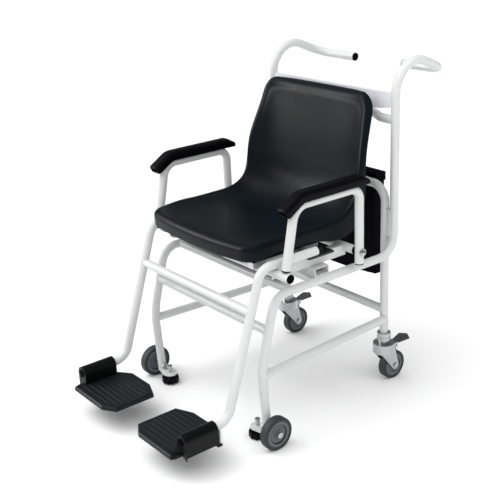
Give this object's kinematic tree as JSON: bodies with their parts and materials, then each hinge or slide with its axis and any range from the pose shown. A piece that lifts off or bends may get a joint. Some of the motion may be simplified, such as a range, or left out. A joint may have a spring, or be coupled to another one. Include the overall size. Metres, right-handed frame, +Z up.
{
  "type": "chair scale",
  "caption": "Wheeled chair scale with a black bucket seat, swing-up armrests, flip-up footplates and a rear display on a white tube frame",
  "frame": {"origin": "on the floor, in the middle of the whole chair", "axes": "+Z up, the sitter faces -Y, +X is the sitter's left"},
  "size_m": [0.6366, 1.026, 0.9931],
  "materials": {
    "frame_white": "satin",
    "black_plastic": "matte",
    "zinc_steel": "polished",
    "seat_black": "satin",
    "grey_rail": "satin",
    "cell_aluminium": "satin",
    "black_steel": "satin",
    "panel_grey": "satin",
    "clear_window": "polished",
    "lcd_glass": "polished",
    "circuit_board": "matte",
    "battery_case": "matte",
    "pad_black": "matte",
    "footplate_black": "matte",
    "grey_tyre": "matte",
    "grey_hub": "matte",
    "pedal_grey": "matte",
    "key_grey": "matte"
  },
  "bodies": {
    "frame": {"side_frame_left": "frame_white", "side_frame_right": "frame_white", "rear_hoop": "frame_white", "cross_bars": "frame_white", "lower_rails": "frame_white", "tube_end_caps": "black_plastic", "wheel_bolts": "zinc_steel", "wheel_spacers_and_nuts": "zinc_steel", "seat_cross_tubes": "frame_white", "seat_frame_rails": "frame_white", "footrest_tubes": "frame_white", "footrest_bar": "frame_white", "seat_shell": "seat_black", "seat_carriers": "grey_rail", "seat_spacers": "black_plastic", "seat_screws": "zinc_steel", "load_cell_beam": "frame_white", "load_cell": "cell_aluminium", "load_cell_bridge": "black_steel", "load_cell_bolts": "zinc_steel", "armrest_pivot_bolts": "zinc_steel", "display_panel": "panel_grey", "display_crossbar": "frame_white", "display_housing": "panel_grey", "display_cover": "panel_grey", "display_window": "clear_window", "display_lcd": "lcd_glass", "display_board": "circuit_board", "display_screws": "zinc_steel", "rear_housing": "black_plastic", "rear_housing_cover": "black_plastic", "battery_pack": "battery_case", "caster_sockets": "zinc_steel"},
    "armrest_left": {"armrest_tube_left": "frame_white", "armrest_pad_left": "pad_black", "armrest_plugs_left": "black_plastic"},
    "footplate_left_body": {"footplate_left": "footplate_black"},
    "front_wheel_left": {"front_tyre_left": "grey_tyre", "front_hub_left": "grey_hub"},
    "caster_left": {"caster_fork_left": "zinc_steel", "caster_axle_left": "zinc_steel"},
    "caster_wheel_left": {"caster_tyre_left": "grey_tyre", "caster_hub_left": "grey_hub"},
    "caster_pedal_left_body": {"caster_pedal_left": "pedal_grey"},
    "levelling_foot_left_body": {"levelling_foot_left": "black_plastic"},
    "armrest_right": {"armrest_tube_right": "frame_white", "armrest_pad_right": "pad_black", "armrest_plugs_right": "black_plastic"},
    "footplate_right_body": {"footplate_right": "footplate_black"},
    "front_wheel_right": {"front_tyre_right": "grey_tyre", "front_hub_right": "grey_hub"},
    "caster_right": {"caster_fork_right": "zinc_steel", "caster_axle_right": "zinc_steel"},
    "caster_wheel_right": {"caster_tyre_right": "grey_tyre", "caster_hub_right": "grey_hub"},
    "caster_pedal_right_body": {"caster_pedal_right": "pedal_grey"},
    "levelling_foot_right_body": {"levelling_foot_right": "black_plastic"},
    "key_1_body": {"key_1": "key_grey"},
    "key_2_body": {"key_2": "key_grey"},
    "key_3_body": {"key_3": "key_grey"}
  },
  "joints": [
    {"name": "front_wheel_left_spin", "type": "hinge", "parent": "frame", "child": "front_wheel_left", "pos_m": [0.2977, -0.19924, 0.048], "axis": [1, 0, 0], "continuous": true},
    {"name": "caster_left_swivel", "type": "hinge", "parent": "frame", "child": "caster_left", "pos_m": [0.225, 0.2975, 0.115], "axis": [0, 0, 1], "continuous": true},
    {"name": "caster_wheel_left_spin", "type": "hinge", "parent": "caster_left", "child": "caster_wheel_left", "pos_m": [0.225, 0.3325, 0.045], "axis": [1, 0, 0], "continuous": true},
    {"name": "caster_pedal_left_press", "type": "hinge", "parent": "caster_left", "child": "caster_pedal_left_body", "pos_m": [0.225, 0.3375, 0.112], "axis": [-1, 0, 0], "range_deg": [0, 14]},
    {"name": "armrest_left_swing", "type": "hinge", "parent": "frame", "child": "armrest_left", "pos_m": [0.295, 0.1225, 0.492], "axis": [-1, 0, 0], "range_deg": [0, 100]},
    {"name": "footplate_left_flip", "type": "hinge", "parent": "frame", "child": "footplate_left_body", "pos_m": [0.2555, -0.4275, 0.117], "axis": [0, 1, 0], "range_deg": [0, 90]},
    {"name": "levelling_foot_left_travel", "type": "slide", "parent": "frame", "child": "levelling_foot_left_body", "axis": [0, 0, 1], "range_m": [-0.008, 0.007]},
    {"name": "front_wheel_right_spin", "type": "hinge", "parent": "frame", "child": "front_wheel_right", "pos_m": [-0.2977, -0.19924, 0.048], "axis": [1, 0, 0], "continuous": true},
    {"name": "caster_right_swivel", "type": "hinge", "parent": "frame", "child": "caster_right", "pos_m": [-0.225, 0.2975, 0.115], "axis": [0, 0, 1], "continuous": true},
    {"name": "caster_wheel_right_spin", "type": "hinge", "parent": "caster_right", "child": "caster_wheel_right", "pos_m": [-0.225, 0.3325, 0.045], "axis": [1, 0, 0], "continuous": true},
    {"name": "caster_pedal_right_press", "type": "hinge", "parent": "caster_right", "child": "caster_pedal_right_body", "pos_m": [-0.225, 0.3375, 0.112], "axis": [-1, 0, 0], "range_deg": [0, 14]},
    {"name": "armrest_right_swing", "type": "hinge", "parent": "frame", "child": "armrest_right", "pos_m": [-0.295, 0.1225, 0.492], "axis": [-1, 0, 0], "range_deg": [0, 100]},
    {"name": "footplate_right_flip", "type": "hinge", "parent": "frame", "child": "footplate_right_body", "pos_m": [-0.2555, -0.4275, 0.117], "axis": [0, -1, 0], "range_deg": [0, 90]},
    {"name": "levelling_foot_right_travel", "type": "slide", "parent": "frame", "child": "levelling_foot_right_body", "axis": [0, 0, 1], "range_m": [-0.008, 0.007]},
    {"name": "key_1_press", "type": "slide", "parent": "frame", "child": "key_1_body", "axis": [0, -0.5615, -0.8275], "range_m": [0, 0.0008], "stiffness_N_per_m": 900, "springref_m": -0.0004},
    {"name": "key_2_press", "type": "slide", "parent": "frame", "child": "key_2_body", "axis": [0, -0.5615, -0.8275], "range_m": [0, 0.0008], "stiffness_N_per_m": 900, "springref_m": -0.0004},
    {"name": "key_3_press", "type": "slide", "parent": "frame", "child": "key_3_body", "axis": [0, -0.5615, -0.8275], "range_m": [0, 0.0008], "stiffness_N_per_m": 900, "springref_m": -0.0004}
  ]
}
